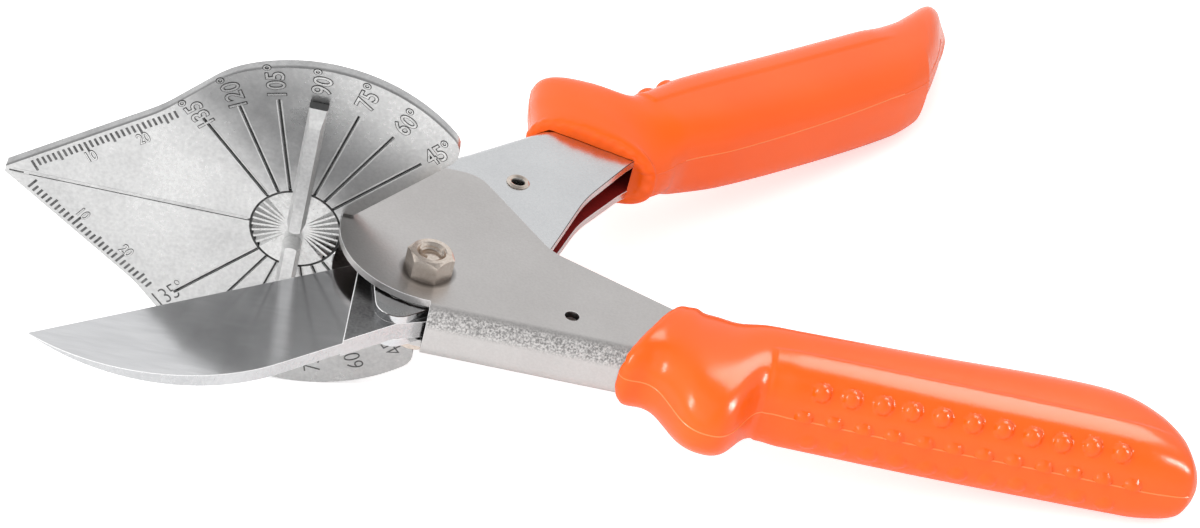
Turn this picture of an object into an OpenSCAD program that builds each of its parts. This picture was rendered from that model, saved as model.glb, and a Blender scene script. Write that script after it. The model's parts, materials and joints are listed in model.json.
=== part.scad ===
/* [Anvil plate] */
// Radius of the big round rim of the plate
rim_r = 31.8; // [30:0.1:34]
// How far the rim's centre lies from the disc centre, towards the handles
rim_shift = 1.5; // [0.5:0.1:3]
// Distance from the disc centre to the pointed tip
tip_reach = 48.6; // [44:0.2:56]
// Half height of the blunt end of the tip
tip_half = 0.5; // [0.3:0.1:1.5]
// Angle between the centre line and each pointed edge
point_angle = 35.5; // [33:0.5:38]
// Length of a pointed edge up to the turn of the shoulder
point_len = 29.1; // [27:0.1:32]
// Angle of the short shoulder run between the pointed edge and the rim
shoulder_angle = 45.5; // [40:0.5:50]
// Radius of the hollow turn at the foot of the shoulder
hollow_r = 25; // [10:1:40]
// Radius of the round turn at the top of the shoulder
shoulder_r = 19; // [8:0.5:24]
// Radius of the two corners beside the handle
corner_r = 3.3; // [1:0.1:4]
// Distance of the handle-side border from the 45 degree ray
border_gap = 2.7; // [2:0.1:4]
// Thickness of the plate
plate_t = 2.5; // [2.2:0.1:4]
// Depth of the scribed angle lines
line_depth = 0.3; // [0.15:0.05:0.5]
// Width of the scribed angle lines
line_w = 0.5; // [0.3:0.05:0.8]
// Radius at which the angle lines end
line_end = 25.5; // [20:0.5:27]
// Step between two angle lines, in degrees
line_step = 15; // [15, 45]
// Half height of the slot that takes the front channel
slot_half = 5.2; // [4.9:0.1:6]

/* [Fence] */
// Radius of the turning disc
disc_r = 7.3; // [7:0.1:7.8]
// Thickness of the turning disc
disc_t = 1.6; // [1.2:0.1:1.7]
// Gap all round the disc in its recess
disc_gap = 0.4; // [0.2:0.05:0.5]
// Distance from the disc centre to the outer ends of the fence bars
bar_reach = 25.7; // [20:0.1:28]
// Distance from the disc centre to the rounded inner ends of the bars
bar_start = 1.5; // [1.2:0.1:4]
// Width of a fence bar at its foot
bar_w = 3.1; // [2.8:0.1:4.4]
// Width of the flat on top of a fence bar
bar_top_w = 1.9; // [1.2:0.1:2.4]
// Height of a fence bar over the plate
bar_h = 3.5; // [2.5:0.1:5]
// Number of serrations in each half of the disc
serrations = 9; // [5:2:11]
// Depth of a serration
serration_depth = 0.45; // [0.2:0.05:0.6]
// Radius of the spigot that turns in the plate
spigot_r = 3; // [2.6:0.1:3.4]
// Radius of the screw that holds the fence
fence_screw_r = 1.95; // [1.5:0.05:2]
// Radius of the fence screw's head
fence_head_r = 3.7; // [3:0.1:4]

/* [Front channel] */
// Outer half width of the front channel
front_half = 4.8; // [4.7:0.05:4.9]
// Sheet thickness of the front channel
front_sheet = 1.3; // [1.2:0.05:1.35]
// Outer radius of the bend along its back
front_bend = 3; // [2:0.1:3.4]
// Distance from the pivot to its back
front_back = 11.4; // [11:0.1:12]
// Length of the channel behind the pivot
front_len = 118; // [100:1:122]
// Radius of the rounded cheek in front of the pivot
lip_r = 16.5; // [15.8:0.1:17]
// Radius of the hanging hole
hang_hole_r = 1.25; // [1:0.05:1.6]
// Distance of the hanging hole behind the pivot
hang_hole_x = 24.4; // [22:0.2:32]

/* [Rear channel] */
// Angle between the two handles when the shears stand open
rear_angle = 41.5; // [41:0.5:42]
// Outer half width of the rear channel at the pivot
rear_half = 3.1; // [3:0.05:3.15]
// Outer half width of the rear channel inside its grip
rear_wide = 4.2; // [3.6:0.1:4.4]
// Sheet thickness of the rear channel
rear_sheet = 1.5; // [1.2:0.05:1.55]
// Outer radius of the bend along its back
rear_bend = 2.4; // [1.8:0.1:2.8]
// Distance of its back from the line through the pivot
rear_back = 27.4; // [26.2:0.1:27.2]
// Length of the channel behind the pivot
rear_len = 128; // [110:1:132]

/* [Blade] */
// How far the blade turns from open to closed
closing_angle = 36.2; // [30:0.2:36.4]
// Length of the cutting edge from the pivot to the tip
edge_reach = 65.8; // [60:0.2:68]
// Gap that is left between the closed edge and the plate
edge_gap = 0.25; // [0.15:0.05:0.6]
// Depth of the blade from the edge to the spine
blade_depth = 20.1; // [19:0.2:21]
// Radius of the curved spine
spine_r = 32.4; // [30:0.5:44]
// Thickness of the blade at the root that the rear channel holds
blade_t = 3.2; // [3:0.1:3.2]
// Thickness of the ground part at the spine
spine_t = 2.3; // [1.6:0.1:2.8]
// Thickness of the cutting edge
edge_t = 0.12; // [0.1:0.02:0.3]

/* [Pivot] */
// Height of the pivot over the face of the plate
pivot_height = 10.3; // [10:0.1:10.8]
// Distance from the pivot to the disc centre
pivot_disc = 22.6; // [22.4:0.1:23]
// Radius of the pivot bolt
bolt_r = 2; // [2:0.05:2.6]
// Width across the flats of the nut and of the bolt head
flats = 7; // [7:0.1:9]
// Height of the nut
nut_h = 4; // [4:0.1:6]
// Height of the bolt head
head_h = 3.5; // [2.5:0.1:4.5]
// Wall of the bush that the rear handle turns on
bush_wall = 1.45; // [0.7:0.05:1.6]
// Thickness of the washer under the bolt head
washer_t = 1; // [0.6:0.1:1.6]
// Radius of the thin washers between the cheeks
shim_r = 7.5; // [6:0.1:8]

/* [Return spring] */
// Thickness of the spring wire
wire_d = 0.8; // [0.6:0.05:0.85]
// Mean radius of the coil
coil_r = 3; // [2.8:0.05:3.4]
// Rise of the coil for each turn
coil_rise = 1.24; // [1.22:0.01:1.3]
// Outer radius of the tube rivet that the coil sits on
tube_rivet_r = 1.9; // [1.6:0.05:2]

/* [Grips] */
// Half thickness of the grips where the hand holds them
grip_half = 8.7; // [8:0.1:10]
// Distance from the pivot to the front grip's tail
front_tail = 132; // [128:1:140]
// Distance from the pivot to the rear grip's tail
rear_tail = 150; // [147:1:156]
// How far the finger guards stand out past the front grip's side
guard = 8.2; // [4:0.2:10]

/* [Hidden] */
$fn = 64;

// Clearances
turn_fit = 0.05;
lay_fit = 0.15;

// Angles of the scribed rays, from the handle side to the tip side
first_ray = 45;
last_ray = 135;

// Places along the pivot axis
front_inner = front_half - front_sheet;
bush_r = bolt_r + turn_fit + bush_wall;

// Places on the plate
disc_x = -pivot_disc;
plate_y = pivot_height;
plate_back = plate_y + plate_t;
recess_depth = disc_t + 0.1;
boss_r = 6;
boss_back = plate_back + 2.4;
slot_x = disc_r - 0.3;

// Shape of the front channel's cheek
lobe_top = 30.1;
lobe_left = disc_x + slot_x + 0.25;
lip_start = 172;
lip_c = [lobe_left - lip_r * cos(lip_start), lip_r - 8];
web_start = lip_c[0] + 0.3;
grip_edge = 1.6;
rivet_places = [[lobe_left + 4.6, plate_back + 4.6], [lobe_left + 4.6, plate_back + 10.6]];
rivet_r = 1.5;

// Shape of the rear channel's cheek, along and across its own handle line
flare_start = 29;
flare_end = 57;
lobe_low = -6.95;
tube_rivet_at = [31.4, 15.9];
blade_rivet_places = [[-5, 5.5], [-4, -5.5]];
blade_rivet_r = 1.4;

// Blade, drawn as it lies when closed
edge_y = pivot_height - edge_gap;
spine_y = edge_y - blade_depth;
root_r = 9.2;
spine_stop = 277;
grind_angle = atan((spine_t - edge_t) / 2 / blade_depth);
plunge_top = [-6.3, edge_y];
plunge_angle = 53.4;

// The shears lie on the rim of the plate and the tails of both grips
rest_tilt = 10.7;
rim_rest = [disc_x + rim_shift + rim_r * sin(rest_tilt), plate_back, -rim_r * cos(rest_tilt)];
front_rest = [front_tail - 9.3, -5.4, 0.7 - grip_half];
rear_rest = concat(turn([rear_tail - 12.6, 21.9], rear_angle), 0.7 - grip_half);
lay_normal = unit(cross(rim_rest - rear_rest, front_rest - rear_rest));
lay_roll = atan2(lay_normal[1], lay_normal[2]);
lay_pitch = atan2(-lay_normal[0], norm([lay_normal[1], lay_normal[2]]));
// Middle of the footprint, measured from the pivot
foot_mid = [29.809, 45.161];
lay_shift = [-foot_mid[0], -foot_mid[1], -lay_normal * rim_rest];

function unit(v) = v / norm(v);
function u(a) = [cos(a), sin(a)];
function flip(points) = [for (i = [len(points) - 1:-1:0]) [points[i][0], -points[i][1]]];
function arc(c, r, from, to, steps) =
    [for (i = [0:steps]) c + r * u(from + (to - from) * i / steps)];
function turn(p, a) = [p[0] * cos(a) - p[1] * sin(a), p[0] * sin(a) + p[1] * cos(a)];

// Centre of a round of radius r inside the circle (c, big) that touches the line p + t * u(a) on side n
function round_in_circle(p, a, n, r, c, big) =
    let (w = p + r * n - c, along = w * u(a))
    p + r * n + u(a) * (sqrt(along * along - w * w + (big - r) * (big - r)) - along);

// A closed outline of corners [x, y, radius] with each corner rounded
function rounded(corners, steps = 8) = [
    for (i = [0:len(corners) - 1])
        let (
            k = len(corners),
            p = [corners[i][0], corners[i][1]],
            before = [corners[(i + k - 1) % k][0], corners[(i + k - 1) % k][1]],
            after = [corners[(i + 1) % k][0], corners[(i + 1) % k][1]],
            r = corners[i][2],
            d0 = unit(before - p),
            d1 = unit(after - p),
            half = acos(max(-1, min(1, d0 * d1))) / 2,
            c = p + unit(d0 + d1) * r / sin(half),
            from = p + d0 * r / tan(half) - c,
            to = p + d1 * r / tan(half) - c,
            a0 = atan2(from[1], from[0]),
            sweep = (atan2(to[1], to[0]) - a0 + 540) % 360 - 180
        )
        for (q = r > 0 ? arc(c, r, a0, a0 + sweep, steps) : [p]) q
];

// A smooth curve through values listed at rising places
function smooth(table, x, column) =
    let (
        k = max([for (i = [0:len(table) - 2]) table[i][0] <= x ? i : 0]),
        p0 = table[max(k - 1, 0)],
        p1 = table[k],
        p2 = table[k + 1],
        p3 = table[min(k + 2, len(table) - 1)],
        h = p2[0] - p1[0],
        t = (x - p1[0]) / h,
        m1 = (p2[column] - p0[column]) / max(p2[0] - p0[0], 0.01) * h,
        m2 = (p3[column] - p1[column]) / max(p3[0] - p1[0], 0.01) * h
    )
    (2 * t * t * t - 3 * t * t + 1) * p1[column] + (t * t * t - 2 * t * t + t) * m1
    + (3 * t * t - 2 * t * t * t) * p2[column] + (t * t * t - t * t) * m2;

function power(v, e) = sign(v) * pow(abs(v), e);

// A skin of triangles over rings of equal length, closed flat at both ends
module loft(rings) {
    k = len(rings[0]);
    points = [for (r = rings) each r];
    last = (len(rings) - 1) * k;
    sides = [
        for (i = [0:len(rings) - 2])
            for (j = [0:k - 1])
                let (a = i * k + j, b = i * k + (j + 1) % k)
                each [[a, b, a + k], [b, b + k, a + k]]
    ];
    ends = [for (j = [1:k - 2]) each [[0, j + 1, j], [last, last + j, last + j + 1]]];
    polyhedron(points, concat(sides, ends));
}

// Lays the shears down from the pivot's own frame, in which Z runs along the pivot bolt
module lay_down() {
    translate(lay_shift) rotate([lay_roll, lay_pitch, 0]) children();
}

// Turns a piece of the rear handle from its own line to its open place
module rear_place() {
    rotate([0, 0, rear_angle]) children();
}

// Turns a piece drawn for the closed shears to its open place
module open_blade() {
    rotate([0, 0, closing_angle]) children();
}

// Stands a drawing on the face of the plate, with its height running out of the face
module on_plate(height) {
    translate([disc_x, plate_y + height, 0]) rotate([90, 0, 0]) children();
}

// Half of the plate's outline, from the tip over the rim to the slot. Where the shoulder's own angle
// would miss the rim, it runs along the line from its foot that just reaches the rim
function plate_half() =
    let (
        tip = [-tip_reach, tip_half],
        foot = tip + point_len * u(point_angle),
        rim_c = [rim_shift, 0],
        out = foot - rim_c,
        meet_angle = atan2(out[1], out[0]) - 180 + asin(min(1, (rim_r - lay_fit) / norm(out))),
        run_angle = min(shoulder_angle, meet_angle),
        hollow_c = foot + hollow_r * u(point_angle + 90)
            - hollow_r * tan((run_angle - point_angle) / 2) * u(point_angle),
        shoulder_c = round_in_circle(foot, run_angle, u(run_angle - 90), shoulder_r, rim_c, rim_r),
        border = border_gap * u(-45),
        corner_c = round_in_circle(border, 45, u(135), corner_r, rim_c, rim_r),
        rim_from = shoulder_c - rim_c,
        rim_to = corner_c - rim_c,
        a0 = atan2(rim_from[1], rim_from[0]),
        a1 = atan2(rim_to[1], rim_to[0])
    )
    concat(
        [tip],
        arc(hollow_c, hollow_r, point_angle - 90, run_angle - 90, 4),
        arc(shoulder_c, shoulder_r, run_angle + 90, a0, 8),
        arc(rim_c, rim_r, a0, a1, 24),
        arc(corner_c, corner_r, a1, -45, 6),
        [[slot_half + border_gap * sqrt(2), slot_half], [slot_x, slot_half]]
    );

module anvil_plate() color("silver") {
    difference() {
        union() {
            on_plate(plate_t) linear_extrude(plate_t) polygon(concat(plate_half(), flip(plate_half())));
            on_plate(boss_back - plate_y) cylinder(r = boss_r, h = boss_back - plate_back + 1);
            anvil_tang();
        }
        on_plate(recess_depth) cylinder(r = disc_r + disc_gap, h = recess_depth + 1);
        on_plate(boss_back - plate_y + 1) cylinder(r = spigot_r + turn_fit, h = plate_t + 6);
        for (side = [-1, 1], a = [first_ray:line_step:last_ray])
            on_plate(line_depth) rotate([0, 0, side * a]) translate([disc_r, -line_w / 2, 0])
                cube([line_end - disc_r, line_w, 1]);
        on_plate(line_depth) translate([-tip_reach + 4, -line_w / 2, 0])
            cube([tip_reach - disc_r - 4, line_w, 1]);
        for (p = rivet_places)
            translate([p[0], p[1], 0]) cylinder(r = rivet_r, h = 20, center = true);
    }
}

// Rib behind the plate that the two cheeks of the front channel are riveted to
module anvil_tang() {
    half = front_inner - turn_fit;
    left = disc_x + boss_r;
    translate([0, 0, -half]) linear_extrude(2 * half) polygon(rounded([
        [left - 4, plate_back - 0.6, 0], [left, boss_back, 0.8], [left, plate_back + 13, 3],
        [left + 9.4, plate_back + 14.4, 2], [left + 6.6, plate_y + 1.4, 1], [left + 1.6, plate_y + 1.4, 0.6],
        [left + 0.2, plate_y + 1.8, 0]
    ]));
}

// Headed below and flush on top
module anvil_rivets() color("gainsboro") {
    for (p = rivet_places) translate([p[0], p[1], 0]) {
        cylinder(r = rivet_r, h = 2 * front_half, center = true);
        translate([0, 0, -front_half]) mirror([0, 0, 1]) rivet_head();
    }
}

// Low domed rivet head
module rivet_head() {
    head_r = 2.6;
    rise = 1;
    ball = (head_r * head_r + rise * rise) / (2 * rise);
    rotate_extrude() intersection() {
        translate([0, rise - ball]) circle(r = ball);
        square([head_r, rise]);
    }
}

// Section of a channel with its back at y = 0 and its bends rounded
module bent_section(half, r, depth) {
    translate([r, -half]) square([depth - r, 2 * half]);
    translate([0, r - half]) square([depth, 2 * (half - r)]);
    for (side = [-1, 1]) translate([r, side * (half - r)]) circle(r = r);
}

// A channel's section swept along X, with its back at y = -back and open towards +Y
module bent_bar(half, r, back, depth, from, to) {
    translate([from, -back, 0]) rotate([90, 0, 90]) linear_extrude(to - from)
        bent_section(half, r, depth);
}

module front_outline() {
    lip = arc(lip_c, lip_r, lip_start, 270, 20);
    polygon(concat([for (i = [1:len(lip) - 1]) lip[i]], rounded([
        [web_start, lip_c[1] - lip_r, 0], [web_start, -front_back, 0], [front_len, -front_back, 0],
        [front_len, grip_edge, 0], [45, grip_edge, 20], [20, 12.3, 8], [6, lobe_top, 6],
        [lobe_left, lobe_top, 5], [lip[0][0], lip[0][1], 0]
    ])));
}

// The front channel as a full bar, as its grip fits round it
module front_envelope() {
    intersection() {
        translate([0, 0, -front_half]) linear_extrude(2 * front_half) front_outline();
        bent_bar(front_half, front_bend, front_back, 60, lobe_left - 5, front_len);
    }
}

module front_channel() color("tan") {
    difference() {
        front_envelope();
        bent_bar(
            front_inner, front_bend - front_sheet, front_back - front_sheet, 60, lobe_left - 6, front_len + 1
        );
        cylinder(r = bolt_r + turn_fit, h = 30, center = true);
        translate([hang_hole_x, -4.2, 0]) cylinder(r = hang_hole_r, h = 30, center = true);
        for (p = rivet_places)
            translate([p[0], p[1], 0]) cylinder(r = rivet_r, h = 30, center = true);
    }
}

module rear_outline() {
    polygon(rounded([
        [-14.6, lobe_low, 3.4], [16.6, lobe_low, 20], [39.5, 7.1, 30], [56, 12.9, 30], [rear_len, 13.4, 0],
        [rear_len, rear_back, 0], [17, rear_back, 4], [-3.2, 11.6, 10]
    ]));
}

// Section of the rear channel, as an outline with rounded back corners
function rear_section(half, r, back) = concat(
    arc([back - r, half - r], r, 90, 0, 6), arc([back - r, r - half], r, 0, -90, 6),
    [[-60, -half], [-60, half]]
);

// A stretch of the rear channel between two places, with its own half width at each end
module rear_stretch(from, to, half_from, half_to, r, back) {
    loft([
        for (end = [[from, half_from], [to, half_to]])
            [for (q = rear_section(end[1], r, back)) [end[0], q[0], q[1]]]
    ]);
}

// The rear channel's bar, which widens between the pivot and the grip
module rear_bar(less, r, more) {
    wide = rear_wide - less;
    narrow = rear_half - less;
    back = rear_back - less;
    rear_stretch(-40 - more, flare_start, narrow, narrow, r, back);
    rear_stretch(flare_start, flare_end, narrow, wide, r, back);
    rear_stretch(flare_end, rear_len + more, wide, wide, r, back);
}

// The rear channel as a full bar, as its grip fits round it
module rear_envelope() {
    intersection() {
        translate([0, 0, -10]) linear_extrude(20) rear_outline();
        rear_bar(0, rear_bend, 0);
    }
}

module rear_channel() color("lightsteelblue") {
    difference() {
        rear_place() difference() {
            rear_envelope();
            rear_bar(rear_sheet, rear_bend - rear_sheet, 1);
            translate([tube_rivet_at[0], tube_rivet_at[1], 0])
                cylinder(r = tube_rivet_r, h = 30, center = true);
        }
        cylinder(r = bush_r + turn_fit, h = 30, center = true);
        for (p = blade_rivet_places)
            translate([p[0], p[1], 0]) cylinder(r = blade_rivet_r, h = 30, center = true);
    }
}

// Outline of the blade when closed, with its edge along the plate
module blade_outline() {
    tip_angle = 180 + asin((spine_r - blade_depth) / spine_r);
    spine_c = [-edge_reach - spine_r * cos(tip_angle), spine_y + spine_r];
    polygon(concat(
        arc(spine_c, spine_r, tip_angle, spine_stop, 24),
        [[-root_r - 0.3, -root_r + 1.8], [-root_r / 2, -root_r + 0.8], [0, -root_r], [0, 0]],
        [plunge_top, [-edge_reach, edge_y]]
    ));
    circle(r = root_r);
}

// Everything on the tip side of the line where the grinding stops
module ground_zone() {
    top = plunge_top + root_r * u(plunge_angle);
    low = plunge_top - 2 * blade_depth * u(plunge_angle);
    polygon([top, low, low - [2 * edge_reach, 0], top - [2 * edge_reach, 0]]);
}

module blade() color("lightgray") {
    difference() {
        open_blade() difference() {
            translate([0, 0, -blade_t / 2]) linear_extrude(blade_t) blade_outline();
            for (side = [0, 1]) mirror([0, 0, side]) intersection() {
                translate([-2 * edge_reach, edge_y, edge_t / 2]) rotate([-grind_angle, 0, 0])
                    translate([0, -2 * blade_depth, 0]) cube([2 * edge_reach, 3 * blade_depth, 2 * blade_t]);
                translate([0, 0, -2 * blade_t]) linear_extrude(4 * blade_t) ground_zone();
            }
        }
        cylinder(r = bush_r + turn_fit, h = 30, center = true);
        for (p = blade_rivet_places)
            translate([p[0], p[1], 0]) cylinder(r = blade_rivet_r, h = 30, center = true);
    }
}

module blade_rivets() color("gainsboro") {
    for (p = blade_rivet_places)
        translate([p[0], p[1], 0]) cylinder(r = blade_rivet_r, h = 2 * rear_half, center = true);
}

module spring_rivet() color("gainsboro") {
    widening = (rear_wide - rear_half) / (flare_end - flare_start);
    half = rear_half + widening * (tube_rivet_at[0] - flare_start);
    rear_place() translate([tube_rivet_at[0], tube_rivet_at[1], 0]) difference() {
        cylinder(r = tube_rivet_r, h = 2 * half, center = true);
        cylinder(r = tube_rivet_r - 0.6, h = 30, center = true);
    }
}

// Line of the spring wire: a short leg on the rear back, the coil and a long leg on the front back
function spring_line() =
    let (
        c = turn(tube_rivet_at, rear_angle),
        leg_a = 210,
        leg_b = 190.8,
        turns = 2 - (leg_a - leg_b) / 360,
        rings = round(8 * turns),
        rise = coil_rise * turns,
        start = c + coil_r * u(leg_a),
        stop = c + coil_r * u(leg_b),
        out_a = u(leg_a - 90),
        out_b = u(leg_b + 90),
        across = u(rear_angle + 90),
        room_a = rear_back - rear_sheet - wire_d - start * across,
        room_b = stop[1] + front_back - front_sheet - wire_d,
        end_a = start + out_a * room_a / (out_a * across),
        end_b = stop - out_b * room_b / out_b[1]
    )
    concat(
        [[end_a[0], end_a[1], -rise / 2], [(start[0] + end_a[0]) / 2, (start[1] + end_a[1]) / 2, -rise / 2]],
        [for (i = [0:rings])
            let (q = c + coil_r * u(leg_a + 360 * turns * i / rings))
            [q[0], q[1], rise * (i / rings - 0.5)]],
        [[(stop[0] + end_b[0]) / 2, (stop[1] + end_b[1]) / 2, rise / 2], [end_b[0], end_b[1], rise / 2]]
    );

// Directions across the wire at one of its points: one flat across the coil, one along its axis
function wire_ring(line, i) =
    let (
        way = unit(line[min(i + 1, len(line) - 1)] - line[max(i - 1, 0)]),
        flat = unit(cross(way, [0, 0, 1])),
        up = cross(flat, way)
    )
    [for (j = [0:5]) line[i] + wire_d / 2 * (cos(60 * j) * flat + sin(60 * j) * up)];

// Least gap of the wire to itself, between points that lie half a turn or more apart along it
function wire_gap(line) = min([
    for (i = [0:len(line) - 1], j = [i + 5:1:len(line) - 1]) norm(line[i] - line[j])
]) - wire_d;

module return_spring() color("dimgray") {
    line = spring_line();
    echo(spring_gap = wire_gap(line));
    loft([for (i = [0:len(line) - 1]) wire_ring(line, i)]);
}

module hex(across, h) {
    cylinder(r = across / (2 * cos(30)), h = h, $fn = 6);
}

// Takes the sharp corners off the end of a hexagon, as on a turned nut
module hex_turning(across, h) {
    rise = 0.9;
    rotate_extrude() polygon([
        [0, 0], [across / (2 * cos(30)) + 0.2, 0], [across / (2 * cos(30)) + 0.2, h - rise],
        [across / 2 - 0.2, h], [0, h]
    ]);
}

module pivot_bolt() color("gainsboro") {
    head_top = -front_half - washer_t;
    shank_top = front_half + nut_h - 1.1;
    translate([0, 0, head_top]) cylinder(r = bolt_r, h = shank_top - head_top);
    translate([0, 0, head_top]) mirror([0, 0, 1]) intersection() {
        hex(flats, head_h);
        hex_turning(flats, head_h);
    }
}

module pivot_nut() color("tan") {
    nut_turn = -9.5;
    translate([0, 0, front_half]) difference() {
        intersection() {
            rotate([0, 0, nut_turn]) hex(flats, nut_h);
            hex_turning(flats, nut_h);
        }
        translate([0, 0, -1]) cylinder(r = bolt_r + turn_fit / 2, h = nut_h + 2);
        translate([0, 0, nut_h - 0.5]) cylinder(r1 = bolt_r, r2 = bolt_r + 0.8, h = 0.8);
    }
}

// A flat ring
module ring(inner, outer, h) {
    difference() {
        cylinder(r = outer, h = h);
        translate([0, 0, -1]) cylinder(r = inner, h = h + 2);
    }
}

module pivot_washer() color("silver") {
    translate([0, 0, -front_half - washer_t]) ring(bolt_r + turn_fit, 5, washer_t);
}

module pivot_bush() color("darkkhaki") {
    translate([0, 0, -front_inner]) ring(bolt_r + turn_fit, bush_r, 2 * front_inner);
}

module pivot_shims() color("goldenrod") {
    play = 0.02;
    for (side = [0, 1]) mirror([0, 0, side]) translate([0, 0, rear_half + play])
        ring(bush_r + 0.1, shim_r, front_inner - rear_half - 2 * play);
}

// One fence bar along +X of the disc: sloped flanks, rounded inner nose, sloped outer end
module fence_bar() {
    flank = (bar_w - bar_top_w) / 2;
    long = bar_reach - bar_start;
    intersection() {
        translate([bar_start, 0, 0]) rotate([90, 0, 90]) linear_extrude(long) polygon([
            [-bar_w / 2, lay_fit], [bar_w / 2, lay_fit], [bar_w / 2, bar_h / 2], [bar_w / 2 - flank, bar_h],
            [flank - bar_w / 2, bar_h], [-bar_w / 2, bar_h / 2]
        ]);
        translate([0, bar_w, 0]) rotate([90, 0, 0]) linear_extrude(2 * bar_w) polygon([
            [0, 0], [bar_reach, 0], [bar_reach, bar_h * 0.62], [bar_reach - 3, bar_h + 0.01],
            [0, bar_h + 0.01]
        ]);
        linear_extrude(bar_h + 1) {
            translate([bar_start + bar_w / 2, 0]) circle(r = bar_w / 2);
            translate([bar_start + bar_w / 2, -bar_w / 2]) square([long, bar_w]);
        }
    }
    translate([bar_start + bar_w / 2, 0, -disc_t / 2]) cylinder(r = bar_w / 2, h = disc_t);
    translate([bar_start + bar_w / 2, -bar_w / 2, -disc_t / 2])
        cube([sqrt(disc_r * disc_r - bar_w * bar_w / 4) - bar_start - bar_w / 2 - 0.3, bar_w, disc_t]);
}

module fence() color("whitesmoke") {
    spread = 100;
    step = spread / (serrations + 1);
    groove_start = 2.2;
    fall = atan(serration_depth / (disc_r - groove_start));
    difference() {
        union() {
            difference() {
                on_plate(disc_t) cylinder(r = disc_r, h = disc_t);
                for (half = [0, 180], i = [1:serrations])
                    on_plate(0) rotate([0, 0, half - spread / 2 + i * step])
                        translate([groove_start, 0, serration_depth]) rotate([45, fall, 0])
                            translate([0, -serration_depth / sqrt(2), -serration_depth / sqrt(2)])
                            cube([disc_r, serration_depth * sqrt(2), serration_depth * sqrt(2)]);
            }
            for (a = [90, 270]) on_plate(0) rotate([0, 0, a]) fence_bar();
            on_plate(boss_back - plate_y) cylinder(r = spigot_r, h = boss_back - plate_y - disc_t / 2);
        }
        on_plate(boss_back - plate_y + 1) cylinder(r = fence_screw_r, h = boss_back - plate_y);
    }
}

module fence_spring_washer() color("dimgray") {
    rise = 0.8;
    sheet = 0.4;
    on_plate(boss_back - plate_y + 0.05) mirror([0, 0, 1]) rotate_extrude() polygon([
        [spigot_r + 0.2, rise - sheet], [5.2, 0], [5.2, sheet], [spigot_r + 0.2, rise]
    ]);
}

module fence_washer() color("silver") {
    on_plate(boss_back - plate_y + 0.9 + 0.7) ring(fence_screw_r + 0.1, 5, 0.7);
}

module fence_screw() color("gainsboro") {
    seat = boss_back - plate_y + 1.6;
    head_h = 2.2;
    difference() {
        union() {
            on_plate(seat) cylinder(r = fence_screw_r, h = seat - disc_t - 0.8);
            on_plate(seat) mirror([0, 0, 1]) rotate_extrude() intersection() {
                translate([0, head_h - fence_head_r * 1.6]) circle(r = fence_head_r * 1.6);
                square([fence_head_r, head_h]);
            }
        }
        on_plate(seat + head_h - 1) mirror([0, 0, 1]) for (a = [0, 90]) rotate([0, 0, a])
            translate([-fence_head_r * 0.6, -0.5, 0]) cube([fence_head_r * 1.2, 1, 5]);
    }
}

// Stations of the front grip: place, inner side, outer side, half thickness, squareness, lean of the section
front_side = front_back + 2.9;
front_stations = [
    [39, 5.4, front_side - 1.4, 7.5, 2.7, -9],
    [42.5, 5.8, front_side - 0.4, 7.8, 2.6, -6],
    [45.5, 6.2, front_side + guard * 0.84, 8, 2.3, -2],
    [48.5, 6, front_side + guard * 1.06, 8.1, 2.3, 0],
    [52, 5.2, front_side + guard * 0.9, 8.2, 2.3, 0],
    [56.5, 4.5, front_side + 0.4, grip_half - 0.3, 2.6, 0],
    [62, 4.1, front_side - 0.2, grip_half, 2.7, 0],
    [85, 5, front_side, grip_half, 2.8, 0],
    [108, 6.4, front_side - 0.2, grip_half, 2.8, 0],
    [118, 5.9, front_side - 0.1, grip_half - 0.2, 2.7, 0],
    [front_tail - 7, 2.9, front_side, grip_half - 1.2, 2.5, 1],
    [front_tail - 3, -1.2, front_side - 0.9, grip_half - 3, 2.3, 2],
    [front_tail - 1.2, -5.6, front_side - 3.8, 1.6, 2, 2]
];

// Stations of the rear grip, along its own handle line
rear_side = rear_back + 1.8;
rear_inside = -8.7;
rear_stations = [
    [49.2, rear_inside - 0.4, rear_side - 1.6, 6.5, 2.7, -10],
    [52, rear_inside, rear_side + 2, 7, 2.5, -9],
    [54.4, rear_inside, rear_side + guard * 0.98, 7.4, 2.3, -7],
    [57.4, rear_inside, rear_side + guard * 1.48, 7.6, 2.3, -4.5],
    [60.8, rear_inside - 0.4, rear_side + guard * 1.06, 7.8, 2.3, -2],
    [64, rear_inside - 1.2, rear_side + guard * 0.16, 8, 2.4, 0],
    [67, rear_inside - 1.6, rear_side - 1.6, grip_half - 0.3, 2.6, 0],
    [77, rear_inside - 0.3, rear_side - 0.3, grip_half, 2.7, 0],
    [100, rear_inside + 0.4, rear_side - 0.3, grip_half, 2.8, 0],
    [rear_tail - 28, rear_inside - 0.2, rear_side - 0.1, grip_half, 2.7, 3],
    [rear_tail - 19, rear_inside - 1.4, rear_side + 0.6, grip_half - 0.2, 2.6, 7],
    [rear_tail - 12, rear_inside - 3.6, rear_side + 3.2, grip_half - 0.8, 2.5, 14],
    [rear_tail - 7.6, rear_inside - 6.6, rear_side + 4.8, grip_half - 2, 2.3, 17],
    [rear_tail - 5.6, rear_inside - 9.8, rear_side + 4.2, 4.4, 2.2, 16],
    [rear_tail - 4.8, rear_inside - 13.5, rear_side + 1, 1.6, 2, 13]
];

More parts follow.
